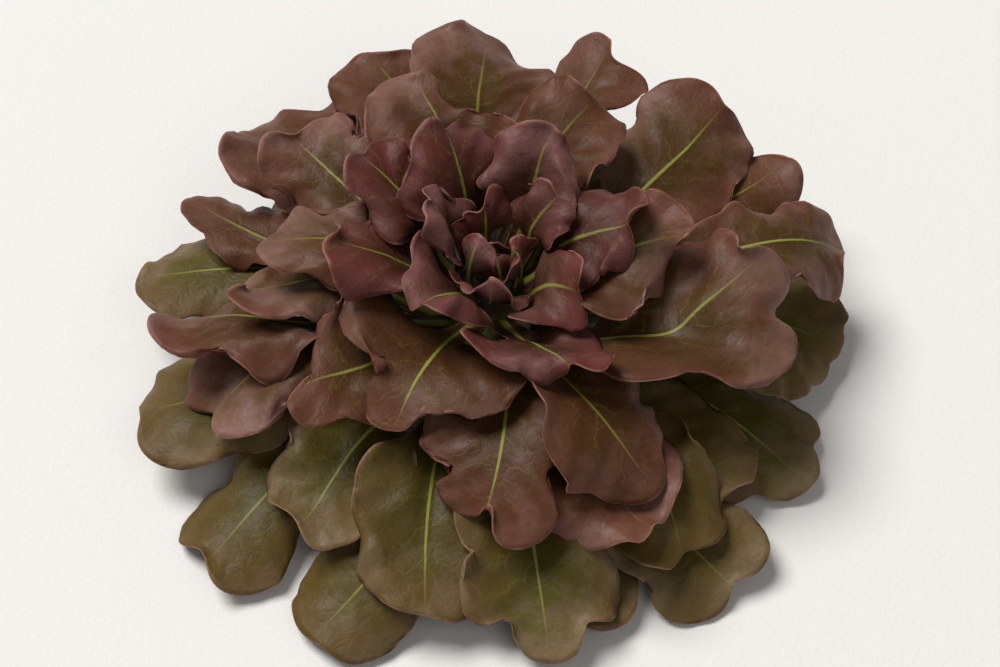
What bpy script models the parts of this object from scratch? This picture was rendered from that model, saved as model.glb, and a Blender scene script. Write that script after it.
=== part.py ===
"""A head of red oak-leaf lettuce, picked and resting on its cut base.

Lengths are in millimetres until the meshes are made. +Z is up, and the origin is the centre of the cut face.
Each leaf is a flat lobed outline bent along its own rib. The leaves are laid from the outermost inwards, and
each one is lifted just clear of those that are already laid.
"""

import math
from typing import NamedTuple

import bpy
import numpy as np
from mathutils.bvhtree import BVHTree

MM = 0.001

# Driving dimensions, in mm.
HEAD_RADIUS = 130.0
HEAD_HEIGHT = 92.0
CORE_RADIUS = 15.0
CORE_HEIGHT = 58.0
CORE_TOP_RADIUS = 3.0
CUT_RADIUS = 13.5
PETIOLE_HALF_WIDTH = 4.6
PETIOLE_SHARE = 0.2
BLADE_THICKNESS = 0.9
RIB_THICKNESS = 0.8
RIB_HALF_WIDTH = 3.5
SEAT_GAP = 0.3
LEAF_CLEARANCE = 0.4
FLOOR_CLEARANCE = 0.8
FLOOR_EASE = 2.0
LOWEST_BASE = 5.0
HIGHEST_BASE = 51.0
BASE_GAP = 0.4
BASE_PITCH = 2.2
BASE_STEP = 0.8
TOP_MARGIN = 0.8
BASE_ANGLE = 14.0
KNEE_LENGTH = 9.0
CHANNEL = 10.0

# How the leaf grows.
RIB_SAMPLES = 160
WAIST_FRACTION = 0.32
TIP_FRACTION = 0.78
HUB_FRACTION = 0.72
SINUS_WIDTH = 0.2
LOBE_UNEVENNESS = 0.15
CORE_SIDES = 32
BLUNTNESS = 0.8
RIPPLE = 0.2
RIPPLE_RATE = 2.2

# How a leaf is laid on the others.
LIFT_STEP = 0.7
LIFT_SLOPE = 0.55
MOST_LIFTS = 60
LIFT_HUB_HEIGHT = 10.0
TURN_STEP = 3.0
RISE_STEP = 0.01
MOST_TURNS = 30


class Leaf(NamedTuple):
    """One leaf. Angles are in degrees."""

    azimuth: float  # the way the tip points, 0 along +X
    reach: float  # the tip's distance from the axis, as a share of HEAD_RADIUS
    rise: float  # the tip's height, as a share of HEAD_HEIGHT
    width: float  # half the blade's width, in mm
    arch: float = 50.0  # how far the rib turns down from base to tip
    droop: float = 0.0  # how much further its last third turns down
    swing: float = 0.0  # azimuth of the base, less that of the tip
    twist: float = 0.0  # how far the blade rolls about its rib
    cup: float = 12.0  # how steeply the two halves rise from the rib
    curl: float = -30.0  # how much further they have turned at the margin
    lobes: float = 4.0  # lobes in a full turn round the blade
    offset: float = 0.0  # turns the lobes round the blade, as a share of one; 0.5 notches the tip
    depth: float = 0.24  # depth of the bays between them, as a share
    ruffle: float = 5.0  # height of the margin's waves, in mm
    waves: float = 2.5  # waves in a full turn
    phase: float = 0.0  # turns the lobes and the waves round the blade


OUTER = [
    Leaf(98, 0.88, 0.04, 26, arch=45, phase=40),
    Leaf(132, 0.90, 0.04, 26, arch=45, phase=80),
    Leaf(66, 0.90, 0.04, 26, arch=45, phase=10),
    Leaf(36, 0.90, 0.05, 26, arch=45, phase=60),
    Leaf(-69, 0.95, 0.02, 18, phase=90),
    Leaf(-28, 0.98, 0.03, 25, swing=14, phase=35, depth=0.2, lobes=5),
    Leaf(-50, 1.05, 0.02, 26, swing=-10, phase=20, depth=0.2, offset=0.4),
    Leaf(-117, 1.05, 0.02, 23, arch=60, swing=24, curl=-50, phase=30, depth=0.1, offset=0.3),
    Leaf(-136, 1.08, 0.02, 24, swing=-6, curl=-50, phase=70, depth=0.3, offset=0.45),
    Leaf(-165, 1.01, 0.13, 28, arch=55, phase=15, swing=14, ruffle=6, depth=0.14, offset=0.3),
    Leaf(171, 1.01, 0.20, 22, arch=45, phase=50, swing=-14, depth=0.1, offset=0.6),
    Leaf(-2, 0.99, 0.13, 34, lobes=13, depth=0.06, ruffle=4, phase=5, swing=12),
    Leaf(-126, 0.86, 0.10, 26, arch=42, phase=55, ruffle=6, swing=-8, twist=10, offset=0.5),
    Leaf(-38, 0.86, 0.09, 28, arch=45, phase=25, ruffle=5, swing=-10, depth=0.12, offset=0.6),
    Leaf(-57, 0.93, 0.08, 22, phase=120, ruffle=6, swing=20, offset=0.3),
    Leaf(-100, 0.93, 0.07, 27, arch=60, swing=-12, phase=45, curl=-45, depth=0.1, offset=0.4),
    Leaf(-81, 1.02, 0.05, 29, arch=55, phase=0, depth=0.26, curl=-50, lobes=5, ruffle=5),
]

MIDDLE = [
    Leaf(155, 0.95, 0.30, 15, arch=40, phase=25, swing=15),
    Leaf(30, 0.97, 0.34, 22, arch=55, phase=85, swing=-12, ruffle=9),
    Leaf(12, 1.00, 0.27, 21, arch=70, droop=50, phase=65, depth=0.3, swing=-16, offset=0.5),
    Leaf(-154, 0.87, 0.21, 26, arch=45, phase=15, twist=-19, swing=-14, ruffle=9, offset=0.5),
    Leaf(-60, 0.84, 0.20, 30, arch=55, phase=75, ruffle=9, swing=-10, depth=0.12, offset=0.2),
    Leaf(141, 0.96, 0.42, 27, arch=30, cup=20, phase=0, swing=-12, ruffle=9, depth=0.12, offset=0.3),
    Leaf(66, 0.93, 0.52, 22, arch=30, cup=22, phase=55, twist=-32, swing=12, ruffle=9, offset=0.6),
    Leaf(113, 0.93, 0.50, 28, arch=30, cup=6, depth=0.22, offset=0.5, phase=90, swing=-8),
    Leaf(43, 0.93, 0.56, 27, arch=28, cup=8, phase=40, twist=24, swing=-14, depth=0.14, offset=0.4),
    Leaf(90, 0.88, 0.53, 31, arch=32, cup=16, ruffle=11, phase=20, twist=-16, swing=10, lobes=6, depth=0.1),
    Leaf(-175, 0.90, 0.38, 26, arch=48, curl=-40, phase=10, twist=24, swing=18, ruffle=9.5, offset=0.5),
    Leaf(-92, 0.73, 0.31, 29, arch=85, droop=30, depth=0.45, phase=30, twist=19, swing=16, offset=0.4),
    Leaf(-56, 0.72, 0.35, 25, arch=85, droop=40, depth=0.2, phase=65, twist=-24, ruffle=7, swing=-10),
    Leaf(-142, 0.67, 0.42, 21, arch=60, droop=20, phase=15, twist=19, ruffle=7, swing=10, offset=0.6),
    Leaf(2, 0.79, 0.58, 34, arch=30, swing=-66, cup=6, phase=10, depth=0.28, ruffle=7, lobes=5, offset=0.2),
    Leaf(-172, 0.72, 0.54, 24, arch=52, curl=-45, phase=5, twist=22, swing=-12, ruffle=9, offset=0.4),
    Leaf(141, 0.74, 0.64, 22, arch=35, cup=24, phase=35, twist=-29, swing=10, ruffle=9, offset=0.5),
    Leaf(114, 0.62, 0.64, 25, arch=70, droop=50, phase=75, twist=32, swing=-16, ruffle=9.5, offset=0.3),
    Leaf(60, 0.62, 0.74, 25, arch=22, cup=8, phase=0, twist=-24, swing=14, ruffle=9, depth=0.12, offset=0.4),
    Leaf(-116, 0.56, 0.52, 36, arch=80, droop=30, lobes=3, depth=0.55, phase=90, cup=16, ruffle=2.5),
    Leaf(178, 0.62, 0.68, 21, arch=45, droop=15, phase=40, twist=-19, swing=8, ruffle=7, offset=0.6),
    Leaf(3, 0.52, 0.74, 27, arch=60, droop=30, phase=60, ruffle=9.5, twist=32, swing=-20, offset=0.5),
]

HEART = [
    Leaf(-62, 0.56, 0.56, 23, arch=60, droop=20, phase=15, twist=20, ruffle=7.5, swing=-10, offset=0.4),
    Leaf(-172, 0.50, 0.76, 23, arch=42, phase=80, twist=15, ruffle=7, swing=8, offset=0.5, curl=0),
    Leaf(145, 0.47, 0.84, 21, arch=30, cup=14, phase=45, twist=-14, swing=6, ruffle=6, offset=0.5, curl=10),
    Leaf(112, 0.40, 0.87, 23, arch=40, droop=20, phase=20, ruffle=7, swing=4, offset=0.5, depth=0.2),
    Leaf(2, 0.43, 0.82, 22, arch=50, droop=20, phase=50, twist=20, ruffle=7, swing=8, offset=0.5),
    Leaf(-125, 0.42, 0.72, 20, arch=45, cup=16, phase=5, twist=15, ruffle=6, swing=6, offset=0.5, curl=0),
    Leaf(62, 0.40, 0.85, 20, arch=40, droop=20, twist=20, phase=70, ruffle=6, swing=-6, offset=0.4),
    Leaf(-36, 0.34, 0.74, 18, arch=50, phase=15, twist=15, ruffle=6, swing=-6, offset=0.5, curl=-10),
    Leaf(168, 0.29, 0.87, 16, arch=28, cup=16, phase=75, ruffle=4, swing=6, offset=0.5, curl=0),
    Leaf(30, 0.26, 0.84, 14, arch=30, phase=10, twist=-10, ruffle=4, swing=4, offset=0.5),
    Leaf(-88, 0.22, 0.76, 15, arch=35, cup=16, phase=65, twist=-10, ruffle=5, swing=-6, offset=0.5),
    Leaf(104, 0.14, 0.86, 12, arch=25, cup=16, phase=25, ruffle=4, offset=0.5),
    Leaf(-25, 0.08, 0.80, 11, arch=25, cup=18, phase=45, ruffle=3, offset=0.5),
]

BUD = [
    Leaf(60, 0.04, 0.76, 9, arch=-25, cup=30, curl=10, depth=0.1, ruffle=1.5, phase=20),
    Leaf(-130, 0.04, 0.84, 9, arch=-25, cup=30, curl=10, depth=0.1, ruffle=1.5, phase=70),
    Leaf(-65, 0.03, 0.73, 8, arch=-25, cup=30, curl=10, depth=0.1, ruffle=1.5, phase=40),
]

RINGS = {"outer_leaf": OUTER, "middle_leaf": MIDDLE, "heart_leaf": HEART, "bud_leaf": BUD}
GRIDS = {"outer_leaf": (9, 7), "middle_leaf": (9, 7), "heart_leaf": (7, 5), "bud_leaf": (6, 5)}


def smooth(x, low, high):
    """0 below low, 1 above high, and an S-curve between."""
    u = np.clip((x - low) / (high - low), 0, 1)
    return u * u * (3 - 2 * u)


def core_radius(z):
    """Radius of the core at height z: nearly upright below and drawn in to a blunt top."""
    u = np.clip(z / CORE_HEIGHT, 0, 1)
    body = CORE_TOP_RADIUS + (CORE_RADIUS - CORE_TOP_RADIUS) * np.sqrt(1 - u**3)
    foot = (CORE_RADIUS - CUT_RADIUS) * (1 - smooth(z, 0, LOWEST_BASE))
    return body - foot


def petiole_half_width(leaf):
    return min(PETIOLE_HALF_WIDTH, PETIOLE_SHARE * leaf.width)


def core_slope(z):
    """The angle above the horizontal of the core's outward normal at height z."""
    return math.atan2(float(core_radius(z - 0.5) - core_radius(z + 0.5)), 1.0)


def rib_of(leaf, base_height):
    """The rib: its length, and samples of its point, side and normal. It ends at the tip the leaf states."""
    u = np.linspace(0, 1, RIB_SAMPLES)
    base = np.array([float(core_radius(base_height)) + SEAT_GAP, base_height])
    chord = np.array([leaf.reach * HEAD_RADIUS, leaf.rise * HEAD_HEIGHT]) - base
    knee = 0.0
    for _ in range(3):
        turn = -np.radians(leaf.arch) * u - np.radians(leaf.droop) * smooth(u, 0.55, 1)
        turn = turn - knee * np.exp(-u * np.hypot(*chord) / KNEE_LENGTH)
        steps = np.stack([np.cos(turn), np.sin(turn)], axis=1)
        middles = (steps[1:] + steps[:-1]) / 2
        run = np.vstack([[0, 0], np.cumsum(middles, axis=0) / (RIB_SAMPLES - 1)])
        length = np.hypot(*chord) / np.hypot(*run[-1])
        lean = math.atan2(chord[1], chord[0]) - math.atan2(run[-1, 1], run[-1, 0])
        knee = max(0.0, lean - core_slope(base_height) - math.radians(BASE_ANGLE))
    c, s = math.cos(lean), math.sin(lean)
    radial = base[0] + length * (c * run[:, 0] - s * run[:, 1])
    height = base[1] + length * (s * run[:, 0] + c * run[:, 1])
    azimuth = np.radians(leaf.azimuth + leaf.swing * (1 - u))
    point = np.stack([radial * np.cos(azimuth), radial * np.sin(azimuth), height], axis=1)
    tangent = np.gradient(point, axis=0)
    tangent /= np.linalg.norm(tangent, axis=1)[:, None]
    slope = turn + lean
    inward = -np.sin(slope)
    up = np.stack([inward * np.cos(azimuth), inward * np.sin(azimuth), np.cos(slope)], axis=1)
    side = np.cross(up, tangent)
    side /= np.linalg.norm(side, axis=1)[:, None]
    normal = np.cross(tangent, side)
    return length, point, side, normal


def flat_outline(leaf, length, s, t):
    """The leaf laid flat, in mm across and along, with each point's margin nearness and hub angle."""
    petiole = petiole_half_width(leaf)
    half = petiole + (leaf.width - petiole) * smooth(s, WAIST_FRACTION, TIP_FRACTION)
    across = t * half
    round_off = BLUNTNESS * leaf.width * smooth(s, 0.2, 1) * (1 - np.sqrt(1 - 0.96 * t**2))
    along = s * length - round_off
    hub = HUB_FRACTION * length
    angle = np.arctan2(across, along - hub)
    margin = 1 - (1 - t**2) * (1 - s**6)
    uneven = LOBE_UNEVENNESS * np.sin(angle + np.radians(leaf.phase))
    turn = leaf.lobes * angle / (2 * np.pi) + leaf.offset + uneven
    from_bay = np.abs(turn - np.floor(turn) - 0.5)
    bay = np.exp(-((from_bay / SINUS_WIDTH) ** 2)) * smooth(-np.abs(angle), -2.5, -1.9)
    keep = 1 - leaf.depth * bay * margin**2
    return across * keep, hub + (along - hub) * keep, margin, angle


def leaf_sheet(leaf, base_height, s, t):
    """The leaf's middle surface, as points for each pair of s, base to tip, and t, margin to margin."""
    length, point, side, normal = rib_of(leaf, base_height)
    across, along, margin, angle = flat_outline(leaf, length, s, t)
    u = np.clip(along / length, 0, 1)
    knots = np.linspace(0, 1, RIB_SAMPLES)
    at = [
        np.stack([np.interp(u, knots, line[:, k]) for k in range(3)], axis=-1)
        for line in (point, side, normal)
    ]
    roll = np.radians(leaf.twist) * u
    side_here = at[1] * np.cos(roll)[..., None] + at[2] * np.sin(roll)[..., None]
    normal_here = at[2] * np.cos(roll)[..., None] - at[1] * np.sin(roll)[..., None]
    rise = np.radians(leaf.cup + CHANNEL * (1 - u) ** 2) * smooth(u, 0.03, 0.3)
    bend = np.radians(leaf.curl) * smooth(u, 0.2, 0.7) / leaf.width + 1e-6
    x = np.abs(across)
    out = (np.sin(rise + bend * x) - np.sin(rise)) / bend
    lift = (np.cos(rise) - np.cos(rise + bend * x)) / bend
    phase = np.radians(leaf.phase)
    wave = np.sin(leaf.waves * angle + phase) + RIPPLE * np.sin(RIPPLE_RATE * leaf.waves * angle + 2 * phase)
    lift = lift + leaf.ruffle * wave * margin**2 * smooth(u, 0.25, 0.6)
    sheet = at[0] + side_here * (np.sign(across) * out)[..., None] + normal_here * lift[..., None]
    lowest = FLOOR_CLEARANCE + BLADE_THICKNESS
    over = (sheet[..., 2] - lowest) / FLOOR_EASE
    sheet[..., 2] = lowest + FLOOR_EASE * np.where(over > 30, over, np.log1p(np.exp(np.minimum(over, 30))))
    return sheet


def sheet_normals(sheet):
    """Unit normals of a grid of points, on the leaf's upper side."""
    normal = np.cross(np.gradient(sheet, axis=1), np.gradient(sheet, axis=0))
    return normal / np.maximum(np.linalg.norm(normal, axis=-1), 1e-9)[..., None]


def clear_of_core(points, gap):
    """Points moved outwards where they are nearer the core than gap."""
    radius = np.hypot(points[..., 0], points[..., 1])
    least = np.where(points[..., 2] < CORE_HEIGHT + gap, core_radius(points[..., 2]) + gap, 0)
    grow = np.maximum(1, least / np.maximum(radius, 1e-6))
    return np.stack([points[..., 0] * grow, points[..., 1] * grow, points[..., 2]], axis=-1)


def seated(points):
    """A leaf's end row put on the core, all at the seat's gap."""
    radius = np.hypot(points[..., 0], points[..., 1])
    scale = (core_radius(points[..., 2]) + SEAT_GAP) / np.maximum(radius, 1e-6)
    return np.stack([points[..., 0] * scale, points[..., 1] * scale, points[..., 2]], axis=-1)


def leaf_solid(sheet, s, t, leaf, spare=0.0):
    """Vertices and triangles of the leaf with its thickness, grown by spare on each side."""
    normal = sheet_normals(sheet)
    rib = np.exp(-((t * leaf.width / RIB_HALF_WIDTH) ** 2)) * (1 - s) ** 1.5
    below = BLADE_THICKNESS / 2 + RIB_THICKNESS * rib + spare
    above = BLADE_THICKNESS / 2 + spare
    upper = clear_of_core(sheet + normal * above, SEAT_GAP)
    lower = clear_of_core(sheet - normal * below[..., None], SEAT_GAP)
    upper[0] = seated(upper[0])
    lower[0] = seated(lower[0])
    lower[..., 2] = np.maximum(lower[..., 2], FLOOR_CLEARANCE / 2)
    rows, columns = sheet.shape[:2]
    verts = np.concatenate([upper.reshape(-1, 3), lower.reshape(-1, 3)])
    index = np.arange(rows * columns).reshape(rows, columns)
    a, b, c, d = index[:-1, :-1], index[:-1, 1:], index[1:, 1:], index[1:, :-1]
    halves = (np.stack([a, b, c], -1), np.stack([a, c, d], -1))
    top = np.concatenate([half.reshape(-1, 3) for half in halves])
    under = top[:, ::-1] + rows * columns
    rim = np.concatenate([index[0, :], index[1:, -1], index[-1, -2::-1], index[-2:0:-1, 0]])
    after = np.roll(rim, -1)
    low = rows * columns
    sides = np.concatenate(
        [np.stack([rim, rim + low, after], -1), np.stack([after, rim + low, after + low], -1)]
    )
    return verts, np.concatenate([top, under, sides])


def lift_way(sheet, leaf):
    """The way each point rises: round the foot of the head, in the leaf's own upright plane."""
    azimuth = math.radians(leaf.azimuth)
    out = np.array([math.cos(azimuth), math.sin(azimuth), 0])
    radial = sheet @ out
    height = sheet[..., 2] - LIFT_HUB_HEIGHT
    way = -height[..., None] * out + radial[..., None] * np.array([0, 0, 1.0])
    return way / np.linalg.norm(way, axis=-1)[..., None]


def spread(lift, sheet):
    """The lift with its steps eased, so that the sheet climbs no steeper than LIFT_SLOPE."""
    along = LIFT_SLOPE * np.linalg.norm(np.diff(sheet, axis=0), axis=-1)
    aside = LIFT_SLOPE * np.linalg.norm(np.diff(sheet, axis=1), axis=-1)
    for _ in range(sum(lift.shape)):
        lift[1:] = np.maximum(lift[1:], lift[:-1] - along)
        lift[:-1] = np.maximum(lift[:-1], lift[1:] - along)
        lift[:, 1:] = np.maximum(lift[:, 1:], lift[:, :-1] - aside)
        lift[:, :-1] = np.maximum(lift[:, :-1], lift[:, 1:] - aside)
    lift[0] = 0
    return lift


def laid_sheet(leaf, sheet, s, t, laid):
    """The sheet lifted until the leaf clears every leaf that is already laid, or None where it can't."""
    way = lift_way(sheet, leaf)
    lift = np.zeros(sheet.shape[:2])
    for _ in range(MOST_LIFTS):
        raised = sheet + way * lift[..., None]
        verts, faces = leaf_solid(raised, s, t, leaf, LEAF_CLEARANCE)
        hits = BVHTree.FromPolygons(verts.tolist(), faces.tolist()).overlap(laid)
        if not hits:
            return raised
        touched = np.unique(faces[np.unique([pair[0] for pair in hits])]) % lift.size
        lift.flat[touched] += LIFT_STEP
        lift = spread(lift, sheet)
    return None


def lowest_base(leaf, rank, ranks, placed):
    """The lowest height for the leaf's base on the core that is clear of the bases below it."""
    azimuth = leaf.azimuth + leaf.swing
    height = LOWEST_BASE + (HIGHEST_BASE - LOWEST_BASE) * rank / ranks
    for other, other_height, other_angle in placed:
        apart = abs((other - azimuth + 180) % 360 - 180)
        if apart < other_angle + base_angle(leaf, height):
            height = max(height, other_height + BASE_PITCH)
    return height


def base_angle(leaf, height):
    """Half the angle that the leaf's base takes up on the core."""
    return math.degrees((petiole_half_width(leaf) + BASE_GAP) / core_radius(height))


def core_surface():
    """Vertices and faces of the turned core, with the flat face where the head was cut."""
    heights = [0, 0.5 * LOWEST_BASE, LOWEST_BASE, *np.linspace(LOWEST_BASE, CORE_HEIGHT, 9)[1:]]
    angles = np.arange(CORE_SIDES) * 2 * np.pi / CORE_SIDES
    n = CORE_SIDES
    verts = []
    for z in heights:
        radius = float(core_radius(z))
        verts += [(radius * np.cos(a), radius * np.sin(a), z) for a in angles]
    faces = [
        (k * n + i, k * n + (i + 1) % n, (k + 1) * n + (i + 1) % n, (k + 1) * n + i)
        for k in range(len(heights) - 1)
        for i in range(n)
    ]
    faces.append(tuple(range(n - 1, -1, -1)))
    faces.append(tuple(range((len(heights) - 1) * n, len(heights) * n)))
    return verts, faces


def cuts_core(leaf, sheet, s, t):
    """Whether the laid leaf cuts into the core."""
    verts, faces = leaf_solid(sheet, s, t, leaf)
    core_tree = BVHTree.FromPolygons(*core_surface())
    return bool(BVHTree.FromPolygons(verts.tolist(), faces.tolist()).overlap(core_tree))


def turns_of(leaf):
    """The leaf as it is drawn, then, for where it has no room, turned about the core and raised."""
    yield leaf
    for count in range(1, MOST_TURNS + 1):
        rise = leaf.rise + count * RISE_STEP
        yield leaf._replace(azimuth=leaf.azimuth + count * TURN_STEP, rise=rise)
        yield leaf._replace(azimuth=leaf.azimuth - count * TURN_STEP, rise=rise)


def laid_leaf(drawn, rank, ranks, placed, s, t, laid):
    """The leaf, its sheet and its base's height, at the first place from which it clears the others."""
    for leaf in turns_of(drawn):
        height = lowest_base(leaf, rank, ranks, placed)
        while height < CORE_HEIGHT - TOP_MARGIN:
            sheet = laid_sheet(leaf, leaf_sheet(leaf, height, s, t), s, t, laid)
            if sheet is not None and not cuts_core(leaf, sheet, s, t):
                return leaf, sheet, height
            height += BASE_STEP
    raise ValueError(f"no room on the core for the leaf at azimuth {drawn.azimuth}")


def material(name, colour, roughness):
    made = bpy.data.materials.new(name)
    made.use_nodes = True
    shader = made.node_tree.nodes["Principled BSDF"]
    shader.inputs["Base Color"].default_value = (*colour, 1)
    shader.inputs["Roughness"].default_value = roughness
    shader.inputs["Metallic"].default_value = 0
    return made


def add_mesh(name, verts, faces, finish):
    mesh = bpy.data.meshes.new(name)
    mesh.from_pydata((np.asarray(verts) * MM).tolist(), [], [list(map(int, f)) for f in faces])
    mesh.materials.append(finish)
    mesh.shade_smooth()
    mesh.set_sharp_from_angle(angle=math.radians(50))
    made = bpy.data.objects.new(name, mesh)
    bpy.context.scene.collection.objects.link(made)
    return made


def core(finish):
    """The core, with the flat face where the head was cut."""
    return add_mesh("core", *core_surface(), finish)


def main():
    for obj in list(bpy.data.objects):
        bpy.data.objects.remove(obj)
    finishes = {
        "outer_leaf": material("outer_leaf", (0.10, 0.09, 0.025), 0.45),
        "middle_leaf": material("middle_leaf", (0.09, 0.045, 0.025), 0.42),
        "heart_leaf": material("heart_leaf", (0.08, 0.03, 0.022), 0.42),
        "bud_leaf": material("bud_leaf", (0.08, 0.03, 0.022), 0.42),
    }
    core(material("core", (0.62, 0.66, 0.36), 0.55))
    ranks = sum(len(members) for members in RINGS.values()) - len(BUD) - 1
    placed = []
    all_verts = np.zeros((0, 3))
    all_faces = np.zeros((0, 3), int)
    laid = BVHTree.FromPolygons([(0, 0, -1), (1, 0, -1), (0, 1, -1)], [(0, 1, 2)])
    for ring, members in RINGS.items():
        rows, columns = GRIDS[ring]
        s, t = np.meshgrid(np.linspace(0, 1, rows), np.linspace(-1, 1, columns), indexing="ij")
        for number, drawn in enumerate(members, 1):
            leaf, sheet, height = laid_leaf(drawn, len(placed), ranks, placed, s, t, laid)
            placed.append((leaf.azimuth + leaf.swing, height, base_angle(leaf, height)))
            verts, faces = leaf_solid(sheet, s, t, leaf)
            add_mesh(f"{ring}_{number:02d}", verts, faces, finishes[ring])
            all_faces = np.vstack([all_faces, faces + len(all_verts)])
            all_verts = np.vstack([all_verts, verts])
            laid = BVHTree.FromPolygons(all_verts.tolist(), all_faces.tolist())


main()
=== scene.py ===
"""The looks of a head of red oak-leaf lettuce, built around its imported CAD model.

Each CAD leaf is stood for by a finer leaf: the same rib, outline and lift, on a finer grid, with a
thin blade, a raised rib, swellings between the side veins and a frilled margin. The leaves are laid
by the same rule as in the CAD model. Their lengths are in millimetres until the meshes are made.
The materials, the camera and the lights are in metres, apart from the leaf skin, which is painted
over the leaf laid flat, in millimetres.
"""

import math
from typing import NamedTuple

import bpy
import numpy as np
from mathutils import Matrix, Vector
from mathutils.bvhtree import BVHTree


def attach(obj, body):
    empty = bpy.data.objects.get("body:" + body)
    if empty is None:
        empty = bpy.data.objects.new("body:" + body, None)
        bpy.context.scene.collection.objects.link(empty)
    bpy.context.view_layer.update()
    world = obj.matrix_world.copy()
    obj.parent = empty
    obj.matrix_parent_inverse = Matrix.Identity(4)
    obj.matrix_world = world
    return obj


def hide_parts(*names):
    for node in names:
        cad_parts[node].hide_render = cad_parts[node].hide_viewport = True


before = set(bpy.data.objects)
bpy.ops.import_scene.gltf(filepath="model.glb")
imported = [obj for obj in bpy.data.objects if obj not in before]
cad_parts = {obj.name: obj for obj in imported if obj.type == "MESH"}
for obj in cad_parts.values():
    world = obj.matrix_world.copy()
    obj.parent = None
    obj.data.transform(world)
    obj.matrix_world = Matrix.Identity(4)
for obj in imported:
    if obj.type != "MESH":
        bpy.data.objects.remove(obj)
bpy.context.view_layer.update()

MM = 0.001

# Driving dimensions, in mm.
HEAD_RADIUS = 130.0
HEAD_HEIGHT = 92.0
CORE_RADIUS = 15.0
CORE_HEIGHT = 58.0
CORE_TOP_RADIUS = 3.0
CUT_RADIUS = 13.5
PETIOLE_HALF_WIDTH = 4.6
PETIOLE_SHARE = 0.2
BLADE_THICKNESS = 0.9
RIB_THICKNESS = 0.8
RIB_HALF_WIDTH = 3.5
SEAT_GAP = 0.3
LEAF_CLEARANCE = 0.4
FLOOR_CLEARANCE = 0.8
FLOOR_EASE = 2.0
LOWEST_BASE = 5.0
HIGHEST_BASE = 51.0
BASE_GAP = 0.4
BASE_PITCH = 2.2
BASE_STEP = 0.8
TOP_MARGIN = 0.8
BASE_ANGLE = 14.0
KNEE_LENGTH = 9.0
CHANNEL = 10.0

# How the leaf grows.
RIB_SAMPLES = 160
WAIST_FRACTION = 0.32
TIP_FRACTION = 0.78
HUB_FRACTION = 0.72
SINUS_WIDTH = 0.2
LOBE_UNEVENNESS = 0.15
CORE_SIDES = 32
BLUNTNESS = 0.8
RIPPLE = 0.2
RIPPLE_RATE = 2.2

# How a leaf is laid on the others.
LIFT_STEP = 0.7
LIFT_SLOPE = 0.55
MOST_LIFTS = 60
LIFT_HUB_HEIGHT = 10.0
TURN_STEP = 3.0
RISE_STEP = 0.01
MOST_TURNS = 30


class Leaf(NamedTuple):
    """One leaf. Angles are in degrees."""

    azimuth: float  # the way the tip points, 0 along +X
    reach: float  # the tip's distance from the axis, as a share of HEAD_RADIUS
    rise: float  # the tip's height, as a share of HEAD_HEIGHT
    width: float  # half the blade's width, in mm
    arch: float = 50.0  # how far the rib turns down from base to tip
    droop: float = 0.0  # how much further its last third turns down
    swing: float = 0.0  # azimuth of the base, less that of the tip
    twist: float = 0.0  # how far the blade rolls about its rib
    cup: float = 12.0  # how steeply the two halves rise from the rib
    curl: float = -30.0  # how much further they have turned at the margin
    lobes: float = 4.0  # lobes in a full turn round the blade
    offset: float = 0.0  # turns the lobes round the blade, as a share of one; 0.5 notches the tip
    depth: float = 0.24  # depth of the bays between them, as a share
    ruffle: float = 5.0  # height of the margin's waves, in mm
    waves: float = 2.5  # waves in a full turn
    phase: float = 0.0  # turns the lobes and the waves round the blade


OUTER = [
    Leaf(98, 0.88, 0.04, 26, arch=45, phase=40),
    Leaf(132, 0.90, 0.04, 26, arch=45, phase=80),
    Leaf(66, 0.90, 0.04, 26, arch=45, phase=10),
    Leaf(36, 0.90, 0.05, 26, arch=45, phase=60),
    Leaf(-69, 0.95, 0.02, 18, phase=90),
    Leaf(-28, 0.98, 0.03, 25, swing=14, phase=35, depth=0.2, lobes=5),
    Leaf(-50, 1.05, 0.02, 26, swing=-10, phase=20, depth=0.2, offset=0.4),
    Leaf(-117, 1.05, 0.02, 23, arch=60, swing=24, curl=-50, phase=30, depth=0.1, offset=0.3),
    Leaf(-136, 1.08, 0.02, 24, swing=-6, curl=-50, phase=70, depth=0.3, offset=0.45),
    Leaf(-165, 1.01, 0.13, 28, arch=55, phase=15, swing=14, ruffle=6, depth=0.14, offset=0.3),
    Leaf(171, 1.01, 0.20, 22, arch=45, phase=50, swing=-14, depth=0.1, offset=0.6),
    Leaf(-2, 0.99, 0.13, 34, lobes=13, depth=0.06, ruffle=4, phase=5, swing=12),
    Leaf(-126, 0.86, 0.10, 26, arch=42, phase=55, ruffle=6, swing=-8, twist=10, offset=0.5),
    Leaf(-38, 0.86, 0.09, 28, arch=45, phase=25, ruffle=5, swing=-10, depth=0.12, offset=0.6),
    Leaf(-57, 0.93, 0.08, 22, phase=120, ruffle=6, swing=20, offset=0.3),
    Leaf(-100, 0.93, 0.07, 27, arch=60, swing=-12, phase=45, curl=-45, depth=0.1, offset=0.4),
    Leaf(-81, 1.02, 0.05, 29, arch=55, phase=0, depth=0.26, curl=-50, lobes=5, ruffle=5),
]

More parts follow.
